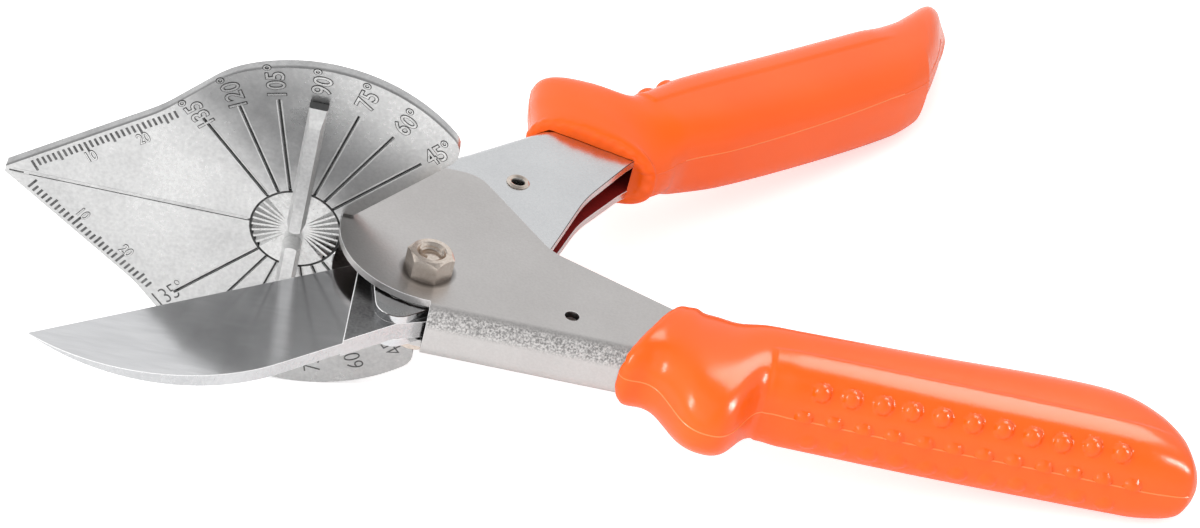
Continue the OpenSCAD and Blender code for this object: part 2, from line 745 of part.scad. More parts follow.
// Rings of a grip: x along the handle, y towards the other handle, z along the pivot bolt
function grip_rings(stations, count, sides) = [
    for (i = [0:count])
        let (
            first = stations[0][0],
            last = stations[len(stations) - 1][0],
            x = first + (last - first) * (1 - pow(1 - i / count, 1.35)),
            inner = smooth(stations, x, 1),
            outer = smooth(stations, x, 2),
            half = smooth(stations, x, 3),
            e = 2 / smooth(stations, x, 4),
            lean = smooth(stations, x, 5),
            mid = (inner - outer) / 2,
            w = (inner + outer) / 2
        )
        [for (j = [0:sides - 1])
            let (a = 360 * j / sides, y = w * power(cos(a), e))
            [x - lean * y / (2 * w), mid + y, half * power(sin(a), e)]]
];

module front_grip() color("orangered") {
    difference() {
        loft(grip_rings(front_stations, 34, 28));
        front_envelope();
    }
}

module rear_grip() color("orangered") {
    rear_place() difference() {
        mirror([0, 1, 0]) mirror([0, 0, 1]) loft(grip_rings(rear_stations, 34, 28));
        rear_envelope();
    }
}

lay_down() anvil_plate();
lay_down() front_channel();
lay_down() front_grip();
lay_down() anvil_rivets();
lay_down() pivot_bolt();
lay_down() pivot_nut();
lay_down() pivot_washer();
lay_down() pivot_bush();
lay_down() pivot_shims();
lay_down() fence();
lay_down() fence_washer();
lay_down() fence_spring_washer();
lay_down() fence_screw();
lay_down() rear_channel();
lay_down() rear_grip();
lay_down() blade();
lay_down() blade_rivets();
lay_down() spring_rivet();
lay_down() return_spring();
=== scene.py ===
import bmesh
import bpy
import json
import math
import numpy as np
from mathutils import Matrix, Vector


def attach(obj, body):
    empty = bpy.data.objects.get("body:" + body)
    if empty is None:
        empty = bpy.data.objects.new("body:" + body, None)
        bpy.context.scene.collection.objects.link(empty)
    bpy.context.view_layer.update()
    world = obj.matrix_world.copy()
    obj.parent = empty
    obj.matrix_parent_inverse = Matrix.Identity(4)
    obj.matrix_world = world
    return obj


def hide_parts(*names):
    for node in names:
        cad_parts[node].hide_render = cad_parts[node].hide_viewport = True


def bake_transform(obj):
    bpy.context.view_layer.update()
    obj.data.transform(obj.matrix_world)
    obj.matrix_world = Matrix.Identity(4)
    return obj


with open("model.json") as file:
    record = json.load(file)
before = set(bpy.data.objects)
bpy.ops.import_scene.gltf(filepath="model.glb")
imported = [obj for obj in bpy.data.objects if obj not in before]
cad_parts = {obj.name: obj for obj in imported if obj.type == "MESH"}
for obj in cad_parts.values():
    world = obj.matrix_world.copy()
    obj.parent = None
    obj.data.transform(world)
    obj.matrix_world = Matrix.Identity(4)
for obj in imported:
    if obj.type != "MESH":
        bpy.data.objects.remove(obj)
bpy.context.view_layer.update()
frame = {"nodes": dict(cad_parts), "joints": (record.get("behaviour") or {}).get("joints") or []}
mm = 0.001
print("frame loaded:", len(frame["nodes"]), "nodes")

# The shears are drawn about their pivot, z along the bolt and the plate facing -y, then laid down
joints = {j["name"]: j for j in frame["joints"]}
boltUp = -Vector(joints["handle_pivot"]["axis"])
plateBack = -Vector(joints["fence_turn"]["axis"])
layDown = Matrix((plateBack.cross(boltUp), plateBack, boltUp)).transposed().to_4x4()
layDown.translation = Vector(joints["handle_pivot"]["pos_m"])
standUp = layDown.inverted()
discSpot = standUp @ Vector(joints["fence_turn"]["pos_m"])
rearTurn = math.radians(41.5)  # angle of the rear handle's own line
scene = bpy.context.scene


def pick(*pieces):
    if bpy.context.object and bpy.context.object.mode != "OBJECT":
        bpy.ops.object.mode_set(mode="OBJECT")
    bpy.ops.object.select_all(action="DESELECT")
    for piece in pieces:
        piece.select_set(True)
    bpy.context.view_layer.objects.active = pieces[0]


def applyAll(piece):
    pick(piece)
    for modifier in list(piece.modifiers):
        bpy.ops.object.modifier_apply(modifier=modifier.name)


def settle(piece, matrix):
    pick(piece)
    piece.matrix_world = matrix
    bpy.ops.object.transform_apply(location=True, rotation=True, scale=True)


def joinInto(name, pieces):
    pick(*pieces)
    if len(pieces) > 1:
        bpy.ops.object.join()
    piece = bpy.context.object
    piece.name = name
    piece.data.name = name
    return piece


def meshPiece(name, points, faces, edges=()):
    mesh = bpy.data.meshes.new(name)
    mesh.from_pydata(points, edges, faces)
    piece = bpy.data.objects.new(name, mesh)
    scene.collection.objects.link(piece)
    return piece


def facesOut(piece):
    pick(piece)
    bpy.ops.object.mode_set(mode="EDIT")
    bpy.ops.mesh.select_all(action="SELECT")
    bpy.ops.mesh.normals_make_consistent(inside=False)
    bpy.ops.object.mode_set(mode="OBJECT")


def smoothOver(piece, degrees):
    pick(piece)
    bpy.ops.object.shade_smooth_by_angle(angle=math.radians(degrees))


# Weights each sharp edge so that its round takes at most a third of the narrower face beside it
def weighEdges(piece, width, degrees, least):
    shape = bmesh.new()
    shape.from_mesh(piece.data)
    weight = shape.edges.layers.float.new("bevel_weight_edge")
    for edge in shape.edges:
        if len(edge.link_faces) == 2 and edge.calc_face_angle() > math.radians(degrees):
            narrow = min(face.calc_area() for face in edge.link_faces)
            room = narrow / max(edge.calc_length(), 0.01 * mm)
            if room > least * mm:
                edge[weight] = min(1.0, 0.33 * room / (width * mm))
    shape.to_mesh(piece.data)
    shape.free()


# A merged copy of a CAD node whose sharp edges get a small round; on some pieces the rounds carry a painted
# near-white highlight
def softCopy(node, name, width, degrees=32, highlightSlot=0, least=0.0):
    piece = bpy.data.objects.new(name, frame["nodes"][node].data.copy())
    scene.collection.objects.link(piece)
    piece.data.name = name
    piece.data.materials.clear()
    for slot in range(highlightSlot + 1):
        piece.data.materials.append(edgeHighlightPale)
    sameSpot, sameFace = 0.004 * mm, math.radians(0.4)
    pick(piece)
    bpy.ops.mesh.customdata_custom_splitnormals_clear()
    bpy.ops.object.mode_set(mode="EDIT")
    bpy.ops.mesh.select_all(action="SELECT")
    bpy.ops.mesh.remove_doubles(threshold=sameSpot)
    bpy.ops.mesh.dissolve_limited(angle_limit=sameFace)
    bpy.ops.object.mode_set(mode="OBJECT")
    weighEdges(piece, width, degrees, least)
    bevel = piece.modifiers.new("round", "BEVEL")
    bevel.limit_method = "WEIGHT"
    bevel.width = width * mm
    bevel.segments = 2
    bevel.material = highlightSlot
    applyAll(piece)
    smoothOver(piece, degrees)
    even = piece.modifiers.new("even", "WEIGHTED_NORMAL")
    even.keep_sharp = True
    applyAll(piece)
    return piece


def dress(piece, body, finish, slot, *nodes):
    if not piece.data.materials:
        piece.data.materials.append(finish)
    piece.data.materials[0] = finish
    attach(piece, body)
    if nodes:
        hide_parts(*nodes)


# Gives another finish to the faces of one slot whose middle and normal, about the pivot, pass the test
def anotherFinish(piece, finish, test, over=0):
    piece.data.materials.append(finish)
    newest = len(piece.data.materials) - 1
    turnOnly = standUp.to_3x3()
    for face in piece.data.polygons:
        middle, normal = standUp @ face.center / mm, turnOnly @ face.normal
        if face.material_index == over and test(middle, normal):
            face.material_index = newest


def newGroup(name, inputs, outputs):
    group = bpy.data.node_groups.new(name, "ShaderNodeTree")
    for label, kind, value in inputs:
        socket = group.interface.new_socket(name=label, in_out="INPUT", socket_type=kind)
        if value is not None:
            socket.default_value = value
    for label, kind in outputs:
        group.interface.new_socket(name=label, in_out="OUTPUT", socket_type=kind)
    return group, group.nodes.new("NodeGroupInput"), group.nodes.new("NodeGroupOutput")


def feed(tree, socket, amount):
    if isinstance(amount, bpy.types.NodeSocket):
        tree.links.new(amount, socket)
    else:
        socket.default_value = amount


def addNoise(tree, place, scale, detail=3.0, rough=0.55):
    noise = tree.nodes.new("ShaderNodeTexNoise")
    noise.inputs["Detail"].default_value = detail
    noise.inputs["Roughness"].default_value = rough
    feed(tree, noise.inputs["Vector"], place)
    feed(tree, noise.inputs["Scale"], scale)
    return noise.outputs["Fac"]


def addRange(tree, value, low, high, outLow=0.0, outHigh=1.0):
    node = tree.nodes.new("ShaderNodeMapRange")
    ends = (("Value", value), ("From Min", low), ("From Max", high), ("To Min", outLow), ("To Max", outHigh))
    for label, amount in ends:
        feed(tree, node.inputs[label], amount)
    return node.outputs["Result"]


def addMath(tree, work, one, two):
    node = tree.nodes.new("ShaderNodeMath")
    node.operation = work
    feed(tree, node.inputs[0], one)
    feed(tree, node.inputs[1], two)
    return node.outputs["Value"]


def addProduct(tree, first, *others):
    for other in others:
        first = addMath(tree, "MULTIPLY", first, other)
    return first


def addBlend(tree, share, one, two):
    node = tree.nodes.new("ShaderNodeMix")
    node.data_type = "RGBA"
    feed(tree, node.inputs["Factor"], share)
    ends = [s for s in node.inputs if s.type == "RGBA"]
    feed(tree, ends[0], one)
    feed(tree, ends[1], two)
    return [s for s in node.outputs if s.type == "RGBA"][0]


def addPlace(tree, location=(0, 0, 0), turn=(0, 0, 0), scale=(1, 1, 1), kind="POINT"):
    place = tree.nodes.new("ShaderNodeTexCoord")
    mapping = tree.nodes.new("ShaderNodeMapping")
    mapping.vector_type = kind
    for label, value in (("Location", location), ("Rotation", turn), ("Scale", scale)):
        mapping.inputs[label].default_value = value
    tree.links.new(place.outputs["Object"], mapping.inputs["Vector"])
    return mapping.outputs["Vector"]


# Cloudy tone and fine grain of a plated, cast or ground metal face
def makeMetalGrain():
    inputs = [("Place", "NodeSocketVector", None),
              ("Cloud", "NodeSocketFloat", 90.0), ("Grain", "NodeSocketFloat", 2600.0),
              ("Dark", "NodeSocketColor", (0.5, 0.5, 0.5, 1)),
              ("Light", "NodeSocketColor", (0.8, 0.8, 0.8, 1)),
              ("Smooth", "NodeSocketFloat", 0.2), ("Rough", "NodeSocketFloat", 0.35)]
    outputs = [("Tone", "NodeSocketColor"), ("Polish", "NodeSocketFloat"), ("Height", "NodeSocketFloat")]
    group, start, stop = newGroup("metalGrain", inputs, outputs)
    cloud = addNoise(group, start.outputs["Place"], start.outputs["Cloud"], detail=4.0, rough=0.6)
    grain = addNoise(group, start.outputs["Place"], start.outputs["Grain"], detail=2.0, rough=0.5)
    soft = addRange(group, cloud, 0.32, 0.68)
    speck = addRange(group, grain, 0.3, 0.7)
    softShare, speckShare = 0.55, 0.45
    share = addMath(group, "ADD", addProduct(group, soft, softShare), addProduct(group, speck, speckShare))
    tone = addBlend(group, share, start.outputs["Dark"], start.outputs["Light"])
    polish = addRange(group, share, 0.0, 1.0, start.outputs["Rough"], start.outputs["Smooth"])
    for label, result in (("Tone", tone), ("Polish", polish), ("Height", grain)):
        group.links.new(result, stop.inputs[label])
    return group


# Darkest and lightest tone, smoothest and roughest spot, scale of clouds and of grain, strength of the bump
def metalFinish(name, dark, light, smooth, rough, cloud, grain, lift, deep=0.02, metallic=1.0,
                scale=(1, 1, 1), turn=(0, 0, 0)):
    finish = bpy.data.materials.new(name)
    finish.use_nodes = True
    tree = finish.node_tree
    shader = tree.nodes["Principled BSDF"]
    shader.inputs["Metallic"].default_value = metallic
    grainNode = tree.nodes.new("ShaderNodeGroup")
    grainNode.node_tree = metalGrain
    tree.links.new(addPlace(tree, turn=turn, scale=scale), grainNode.inputs["Place"])
    settings = (("Cloud", cloud), ("Grain", grain), ("Dark", dark + (1,)), ("Light", light + (1,)),
                ("Smooth", smooth), ("Rough", rough))
    for label, value in settings:
        grainNode.inputs[label].default_value = value
    tree.links.new(grainNode.outputs["Tone"], shader.inputs["Base Color"])
    tree.links.new(grainNode.outputs["Polish"], shader.inputs["Roughness"])
    bump = tree.nodes.new("ShaderNodeBump")
    bump.inputs["Strength"].default_value = lift
    bump.inputs["Distance"].default_value = deep * mm
    tree.links.new(grainNode.outputs["Height"], bump.inputs["Height"])
    tree.links.new(bump.outputs["Normal"], shader.inputs["Normal"])
    return finish


# The place about the fence's middle: x towards the handles, y into the plate, z up
def placeAboutDisc(tree):
    facing = addPlace(tree, layDown @ discSpot, layDown.to_euler(), kind="TEXTURE")
    split = tree.nodes.new("ShaderNodeSeparateXYZ")
    tree.links.new(facing, split.inputs["Vector"])
    return facing, split.outputs


# Darkens a finish towards a tone, by a share that changes over the surface
def darken(finish, share, tone):
    tree = finish.node_tree
    socket = tree.nodes["Principled BSDF"].inputs["Base Color"]
    tree.links.new(addBlend(tree, share, socket.links[0].from_socket, tone), socket)


# Cast plate: bright towards the tip, with a grey mottled patch round the upper fence bar
def plateFinish():
    patchLook = {"leftFrom": -1.5, "leftTo": 5, "lowFrom": 1, "lowTo": 8, "rimFrom": 8, "rimTo": 20,
                 "rimSlope": 0.45, "mottle": 170.0, "share": 0.5, "tone": (0.20, 0.20, 0.205, 1)}
    finish = metalFinish("castBright", (0.55, 0.55, 0.55), (0.77, 0.77, 0.765), 0.24, 0.36, 60.0, 1500.0, 0.5)
    tree = finish.node_tree
    facing, place = placeAboutDisc(tree)
    right, up = place["X"], place["Z"]
    leftwards = addMath(tree, "ADD", right, up)
    leftEnd = addRange(tree, leftwards, patchLook["leftFrom"] * mm, patchLook["leftTo"] * mm)
    lowEnd = addRange(tree, up, patchLook["lowFrom"] * mm, patchLook["lowTo"] * mm)
    rimwards = addMath(tree, "ADD", right, addProduct(tree, up, patchLook["rimSlope"]))
    rimEnd = addRange(tree, rimwards, patchLook["rimFrom"] * mm, patchLook["rimTo"] * mm, 1.0, 0.0)
    mottle = addNoise(tree, facing, patchLook["mottle"], detail=4.0, rough=0.65)
    mottle = addRange(tree, mottle, 0.35, 0.65, 0.3, 1.0)
    darken(finish, addProduct(tree, leftEnd, lowEnd, rimEnd, mottle, patchLook["share"]), patchLook["tone"])
    return finish


# Side of the plate, with painted shade just behind its front edge
def plateEdgeFinish():
    shadeLook = {"from": 0.5, "to": 1.0, "share": 0.6, "tone": (0.06, 0.06, 0.06, 1)}
    finish = metalFinish("castEdgeAndShade", (0.42, 0.42, 0.425), (0.64, 0.64, 0.64), 0.26, 0.36, 240.0, 1800.0, 0.5)
    tree = finish.node_tree
    place = placeAboutDisc(tree)[1]
    shade = addRange(tree, place["Y"], shadeLook["from"] * mm, shadeLook["to"] * mm, shadeLook["share"], 0.0)
    darken(finish, shade, shadeLook["tone"])
    return finish


# Warm plated sheet, with the bend's dark reflection painted in dark specks over its grain
def channelFinish():
    bendReflectionLook = {"lowFrom": 1.4, "lowTo": 2.6, "topFrom": 4.3, "topTo": 4.8, "backFrom": -19.0,
                "backTo": -18.0, "speck": 2900.0, "share": 0.75, "tone": (0.10, 0.098, 0.096, 1),
                "metallic": 0.3}
    footShadowLook = {"from": 4.0, "to": 4.9, "share": 0.8, "tone": (0.07, 0.06, 0.055, 1)}
    finish = metalFinish("nickelGrained", (0.57, 0.55, 0.54), (0.66, 0.64, 0.63), 0.30, 0.38,
                         40.0, 2400.0, 0.8, deep=0.03)
    tree = finish.node_tree
    facing, place = placeAboutDisc(tree)
    right, inward, up = place["X"], place["Y"], place["Z"]
    low = addRange(tree, up, bendReflectionLook["lowFrom"] * mm, bendReflectionLook["lowTo"] * mm)
    top = addRange(tree, up, bendReflectionLook["topFrom"] * mm, bendReflectionLook["topTo"] * mm, 1.0, 0.0)
    back = addRange(tree, inward, bendReflectionLook["backFrom"] * mm, bendReflectionLook["backTo"] * mm, 1.0, 0.0)
    bend = addProduct(tree, low, top, back)
    # dark specks painted over the bend: a painted dark reflection, broken up by the grain
    reflectionSpecks = addNoise(tree, facing, bendReflectionLook["speck"], detail=2.0, rough=0.6)
    reflectionSpecks = addRange(tree, reflectionSpecks, 0.38, 0.62)
    darken(finish, addProduct(tree, bend, reflectionSpecks, bendReflectionLook["share"]), bendReflectionLook["tone"])
    sheen = addRange(tree, bend, 0.0, 1.0, 1.0, bendReflectionLook["metallic"])
    tree.links.new(sheen, tree.nodes["Principled BSDF"].inputs["Metallic"])
    # a dark ring painted round the nut's foot, as its contact shadow
    along = addMath(tree, "ADD", right, discSpot.x)
    across = addMath(tree, "ADD", inward, discSpot.y)
    away = addMath(tree, "ADD", addProduct(tree, along, along), addProduct(tree, across, across))
    nearFoot, pastFoot = (footShadowLook["from"] * mm) ** 2, (footShadowLook["to"] * mm) ** 2
    footShadow = addRange(tree, away, nearFoot, pastFoot, footShadowLook["share"], 0.0)
    darken(finish, footShadow, footShadowLook["tone"])
    return finish


# Moulded plastic: slow colour drift, fine skin grain
def plasticFinish(name, deep, bright):
    skinLook = {"ior": 1.42, "grain": 1900.0, "drift": 35.0, "smooth": 0.18, "rough": 0.26,
                "lift": 0.04, "deep": 0.01}
    finish = bpy.data.materials.new(name)
    finish.use_nodes = True
    tree = finish.node_tree
    shader = tree.nodes["Principled BSDF"]
    shader.inputs["IOR"].default_value = skinLook["ior"]
    place = addPlace(tree)
    skin = addNoise(tree, place, skinLook["grain"], detail=2.0)
    tone = addRange(tree, addNoise(tree, place, skinLook["drift"]), 0.3, 0.7)
    polish = addRange(tree, skin, 0.3, 0.7, skinLook["smooth"], skinLook["rough"])
    tree.links.new(addBlend(tree, tone, deep + (1,), bright + (1,)), shader.inputs["Base Color"])
    tree.links.new(polish, shader.inputs["Roughness"])
    bump = tree.nodes.new("ShaderNodeBump")
    bump.inputs["Strength"].default_value = skinLook["lift"]
    bump.inputs["Distance"].default_value = skinLook["deep"] * mm
    tree.links.new(skin, bump.inputs["Height"])
    tree.links.new(bump.outputs["Normal"], shader.inputs["Normal"])
    return finish


metalGrain = makeMetalGrain()
# near-white rounds along sharp edges: a painted highlight
edgeHighlightPale = metalFinish("edgeHighlightPale", (0.88, 0.88, 0.88), (0.98, 0.98, 0.98), 0.36, 0.48, 200.0, 2400.0, 0.2,
                        metallic=0.08)
castEdgeAndShade = plateEdgeFinish()
castBright = plateFinish()
barPale = metalFinish("barPale", (0.50, 0.50, 0.50), (0.76, 0.76, 0.755), 0.32, 0.45, 160.0, 1700.0, 0.4,
                      metallic=0.6)
fenceBright = metalFinish("fenceBright", (0.56, 0.56, 0.555), (0.84, 0.84, 0.835), 0.18, 0.32,
                          160.0, 1700.0, 0.5)
nickelGrained = channelFinish()
nickelSmooth = metalFinish("nickelSmooth", (0.66, 0.67, 0.685), (0.76, 0.77, 0.78), 0.18, 0.26,
                           60.0, 2600.0, 0.12)
# near black: painted shade for faces inside the channels and along the rear channel's open edge
insideShade = metalFinish("insideShade", (0.07, 0.055, 0.05), (0.16, 0.13, 0.12), 0.35, 0.55,
                         120.0, 1800.0, 0.4)
insideMaroon = metalFinish("insideMaroon", (0.30, 0.015, 0.015), (0.46, 0.035, 0.03), 0.4, 0.6,
                           120.0, 1800.0, 0.4, metallic=0.3)
grindTurn = (0.0, 0.0, math.radians(-36))  # the grain is drawn out along the blade
groundSteel = metalFinish("groundSteel", (0.68, 0.685, 0.70), (0.82, 0.825, 0.84), 0.10, 0.17,
                          50.0, 900.0, 0.12, scale=(0.12, 1.0, 1.0), turn=grindTurn)
spineGrey = metalFinish("spineGrey", (0.56, 0.565, 0.575), (0.70, 0.705, 0.715), 0.22, 0.32,
                        80.0, 1500.0, 0.3)
rootShade = metalFinish("rootShade", (0.22, 0.22, 0.225), (0.50, 0.50, 0.51), 0.25, 0.42,
                         200.0, 2200.0, 0.6)
fixingNickel = metalFinish("fixingNickel", (0.58, 0.49, 0.42), (0.87, 0.78, 0.70), 0.12, 0.26,
                           220.0, 2200.0, 0.3, metallic=0.88)
bushGreyAndBoreShade = metalFinish("bushGreyAndBoreShade", (0.30, 0.29, 0.28), (0.52, 0.51, 0.49), 0.25, 0.42, 200.0, 2200.0, 0.3)
springGrey = metalFinish("springGrey", (0.10, 0.10, 0.11), (0.26, 0.26, 0.27), 0.25, 0.45, 300.0, 3000.0, 0.3)
# near black: painted shade
shadeDark = metalFinish("shadeDark", (0.03, 0.03, 0.03), (0.13, 0.13, 0.13), 0.45, 0.65, 300.0, 2500.0, 0.3)
markGrey = metalFinish("markGrey", (0.07, 0.07, 0.07), (0.24, 0.24, 0.24), 0.4, 0.6, 300.0, 2500.0, 0.3)
orangeSkin = plasticFinish("orangeSkin", (0.96, 0.112, 0.006), (1.0, 0.132, 0.011))
seamHighlight = plasticFinish("seamHighlight", (1.0, 0.20, 0.04), (1.0, 0.26, 0.075))
print("finishes made")

# Anvil plate with its angle lines, numbers and millimetre scale
plateLook = {"round": 0.36, "lineFrom": 8.0, "lineTo": 25.4, "lineWidth": 0.32, "lineRise": 0.03,
             "lineSink": 0.26, "ridgeAt": 0.38, "ridgeWidth": 0.22, "ridgeRise": 0.07, "strokeEase": 0.3,
             "ringFrom": 7.34, "ringTo": 7.78, "ringSink": 0.03, "ringThick": 0.05,
             "numberSize": 4.4, "numberNarrow": 0.8, "numberRise": 0.1, "shadowRise": 0.04,
             "shadowWidth": 0.15 / 4.5, "thinRise": 0.06, "thinEdge": -0.075}  # the edge widens with the size
numberRings = {45: (29.2, 28.4), 60: (29.3, 28.5), 75: (29.6, 28.2), 90: (29.6, 29.2),
               105: (28.9, 28.4), 120: (27.9, 27.4), 135: (26.9, 26.5)}  # radius above and below
scaleLook = {"tip": (-48.6, 0.5), "pointTurn": math.radians(35.5), "from": 4.65, "step": 0.985, "count": 27,
             "inset": 0.62, "ten": 2.1, "five": 1.75, "one": 1.35, "tickWidth": 0.4, "tickRise": 0.08,
             "labels": (10, 20), "labelSize": 2.7, "labelIn": 3.5, "labelBack": 0.3}
middleLook = {"fill": (38.0, 0.3, 0.03), "fillAt": -27.0, "fillSink": 0.1,  # length, width and rise
              "ridge": (39.0, 0.24, 0.05), "ridgeAt": -27.7, "ridgeOff": 0.36,
              "tip": (2.4, 0.25, 0.05), "tipAt": -46.7}
anvilPlate = softCopy("anvil_plate", "anvilPlate", plateLook["round"], highlightSlot=1)
dress(anvilPlate, "front_handle", castBright, "plate_cast", "anvil_plate")
anotherFinish(anvilPlate, castEdgeAndShade, lambda c, n: abs(n.y) < 0.5)


# Where a point of the plate's face is, a towards the handles and b up, with x turned along the face
def onPlate(a, b, turn, lift=0.0):
    spot = discSpot + Vector((a, -lift, b)) * mm
    upright = Matrix.Rotation(math.radians(90), 4, "X") @ Matrix.Rotation(turn, 4, "Z")
    return layDown @ Matrix.Translation(spot) @ upright


def plateWords(words, place, size, rise, edge):
    bpy.ops.object.select_all(action="DESELECT")
    bpy.ops.object.text_add()
    piece = bpy.context.object
    piece.data.body = words
    piece.data.align_x = "CENTER"
    piece.data.align_y = "CENTER"
    piece.data.size = size * mm
    piece.data.extrude = rise * mm
    piece.data.offset = edge * mm
    piece.data.resolution_u = 4
    pick(piece)
    bpy.ops.object.convert(target="MESH")
    settle(piece, place @ Matrix.Diagonal((plateLook["numberNarrow"], 1, 1, 1)))
    return piece


# A low ridge or a ribbon: a cube drawn out and eased at its edges
def plateStroke(length, width, rise, place):
    bpy.ops.object.select_all(action="DESELECT")
    bpy.ops.mesh.primitive_cube_add(size=1, scale=(width * mm, length * mm, 2 * rise * mm))
    piece = bpy.context.object
    bpy.ops.object.transform_apply(location=True, rotation=True, scale=True)
    bpy.ops.object.mode_set(mode="EDIT")
    bpy.ops.mesh.select_all(action="SELECT")
    bpy.ops.mesh.bevel(offset=plateLook["strokeEase"] * rise * mm, segments=1)
    bpy.ops.object.mode_set(mode="OBJECT")
    settle(piece, place)
    return piece


# A flat ring in the gap round the fence's disc, a dark sheet standing in for the gap's shade
def plateRing(inner, outer, place):
    bpy.ops.object.select_all(action="DESELECT")
    bpy.ops.mesh.primitive_circle_add(vertices=96, radius=inner * mm)
    piece = bpy.context.object
    bpy.ops.object.mode_set(mode="EDIT")
    bpy.ops.mesh.select_all(action="SELECT")
    bpy.ops.mesh.extrude_edges_move()
    bpy.ops.transform.resize(value=(outer / inner, outer / inner, 1))
    bpy.ops.mesh.select_all(action="SELECT")
    bpy.ops.mesh.extrude_region_move(TRANSFORM_OT_translate={"value": (0, 0, -plateLook["ringThick"] * mm)})
    bpy.ops.object.mode_set(mode="OBJECT")
    settle(piece, place)
    return piece


# Angle lines, each groove painted dark along its floor as shade, with a ridge on each side, and their
# numbers: raised above, thin below
labels, thinLabels, shadeStrokes, ridges, ticks = [], [], [], [], []
lineMiddle = (plateLook["lineFrom"] + plateLook["lineTo"]) / 2
lineLength = plateLook["lineTo"] - plateLook["lineFrom"]
for degrees, rings in numberRings.items():
    spin = math.radians(degrees)
    for side, ring in zip((1, -1), rings):
        ray = Vector((math.cos(spin), side * math.sin(spin)))
        turn = spin if side > 0 else math.pi - spin
        words = "%d°" % degrees if side > 0 or degrees == 135 else str(degrees)
        label = (words, onPlate(*(ring * ray), turn), plateLook["numberSize"])
        (labels if side > 0 else thinLabels).append(label)
        line = onPlate(*(lineMiddle * ray), side * spin - math.pi / 2, -plateLook["lineSink"])
        shadeStrokes.append(plateStroke(lineLength, plateLook["lineWidth"], plateLook["lineRise"], line))
        for offset in (-plateLook["ridgeAt"], plateLook["ridgeAt"]):
            beside = line @ Matrix.Translation((offset * mm, 0, plateLook["lineSink"] * mm))
            ridges.append(plateStroke(lineLength, plateLook["ridgeWidth"], plateLook["ridgeRise"], beside))

# Millimetre scale along both pointed edges
for side in (1, -1):
    turn = side * scaleLook["pointTurn"]
    tip = Vector((scaleLook["tip"][0], side * scaleLook["tip"][1]))
    along = Vector((math.cos(turn), math.sin(turn)))
    inward = Vector((math.sin(scaleLook["pointTurn"]), -side * math.cos(turn)))
    for k in range(scaleLook["count"] + 1):
        length = scaleLook["ten" if k % 10 == 0 else "five" if k % 5 == 0 else "one"]
        spot = tip + along * (scaleLook["from"] + k * scaleLook["step"])
        tick = spot + inward * (scaleLook["inset"] + length / 2)
        ticks.append(plateStroke(length, scaleLook["tickWidth"], scaleLook["tickRise"], onPlate(*tick, turn)))
        if k in scaleLook["labels"]:
            spot = spot + inward * scaleLook["labelIn"] - along * scaleLook["labelBack"]
            labels.append((str(k), onPlate(*spot, turn), scaleLook["labelSize"]))

# Middle line: filled and ridged on both sides, and taken on to the tip
lengthwise = math.pi / 2
tipPlace = onPlate(middleLook["tipAt"], 0, lengthwise)
ticks.append(plateStroke(*middleLook["tip"], tipPlace))
for offset in (-middleLook["ridgeOff"], middleLook["ridgeOff"]):
    ridgePlace = onPlate(middleLook["ridgeAt"], offset, lengthwise)
    ridges.append(plateStroke(*middleLook["ridge"], ridgePlace))
ringPlace = onPlate(0, 0, 0, -plateLook["ringSink"])
shadeStrokes.append(plateRing(plateLook["ringFrom"], plateLook["ringTo"], ringPlace))
fillPlace = onPlate(middleLook["fillAt"], 0, lengthwise, -middleLook["fillSink"])
ridges.append(plateStroke(*middleLook["fill"], fillPlace))

numbers = [plateWords(*label, plateLook["numberRise"], 0.0) for label in labels]
# a dark rim under each raised number, as the painted shadow round it
numberShades = [plateWords(*label, plateLook["shadowRise"], plateLook["shadowWidth"] * label[2]) for label in labels]
thin = [plateWords(*label, plateLook["thinRise"], plateLook["thinEdge"]) for label in thinLabels]
# the near-black finish paints shade: rims round the numbers, ribbons in the grooves and the ring in the gap
plateMarks = (("angleNumbers", numbers, fenceBright), ("numberShadows", numberShades, shadeDark),
              ("thinNumbers", thin, markGrey), ("grooveAndGapShade", shadeStrokes, shadeDark),
              ("lineRidges", ridges, barPale), ("scaleTicks", ticks, markGrey))
for name, pieces, finish in plateMarks:
    piece = joinInto(name, pieces)
    facesOut(piece)
    smoothOver(piece, 40)
    dress(piece, "front_handle", finish, "plate_cast")
print("anvil plate done")

# These follow their CAD nodes, with eased edges: node, piece, round, body, finish, slot
eased = [("fence", "fence", 0.5, "fence_swivel", fenceBright, "fence_cast"),
         ("fence_washer", "fenceWasher", 0.12, "fence_swivel", fixingNickel, "fixings"),
         ("fence_spring_washer", "fenceSpringWasher", 0.08, "fence_swivel", springGrey, "spring_steel"),
         ("fence_screw", "fenceScrew", 0.1, "fence_swivel", fixingNickel, "fixings"),
         ("front_channel", "frontChannel", 0.3, "front_handle", nickelGrained, "front_nickel"),
         ("rear_channel", "rearChannel", 0.3, "rear_handle", nickelSmooth, "rear_nickel"),
         ("blade", "blade", 0.08, "rear_handle", groundSteel, "blade_steel"),
         ("anvil_rivets", "anvilRivets", 0.05, "front_handle", nickelGrained, "fixings"),
         ("pivot_bolt", "pivotBolt", 0.3, "front_handle", fixingNickel, "fixings"),
         ("pivot_nut", "pivotNut", 0.15, "front_handle", fixingNickel, "fixings"),
         ("pivot_washer", "pivotWasher", 0.15, "front_handle", fixingNickel, "fixings"),
         ("pivot_bush", "pivotBush", 0.1, "front_handle", bushGreyAndBoreShade, "bush_steel"),
         ("pivot_shims", "pivotShims", 0.05, "front_handle", bushGreyAndBoreShade, "bush_steel"),
         ("blade_rivets", "bladeRivets", 0.05, "rear_handle", nickelSmooth, "fixings")]
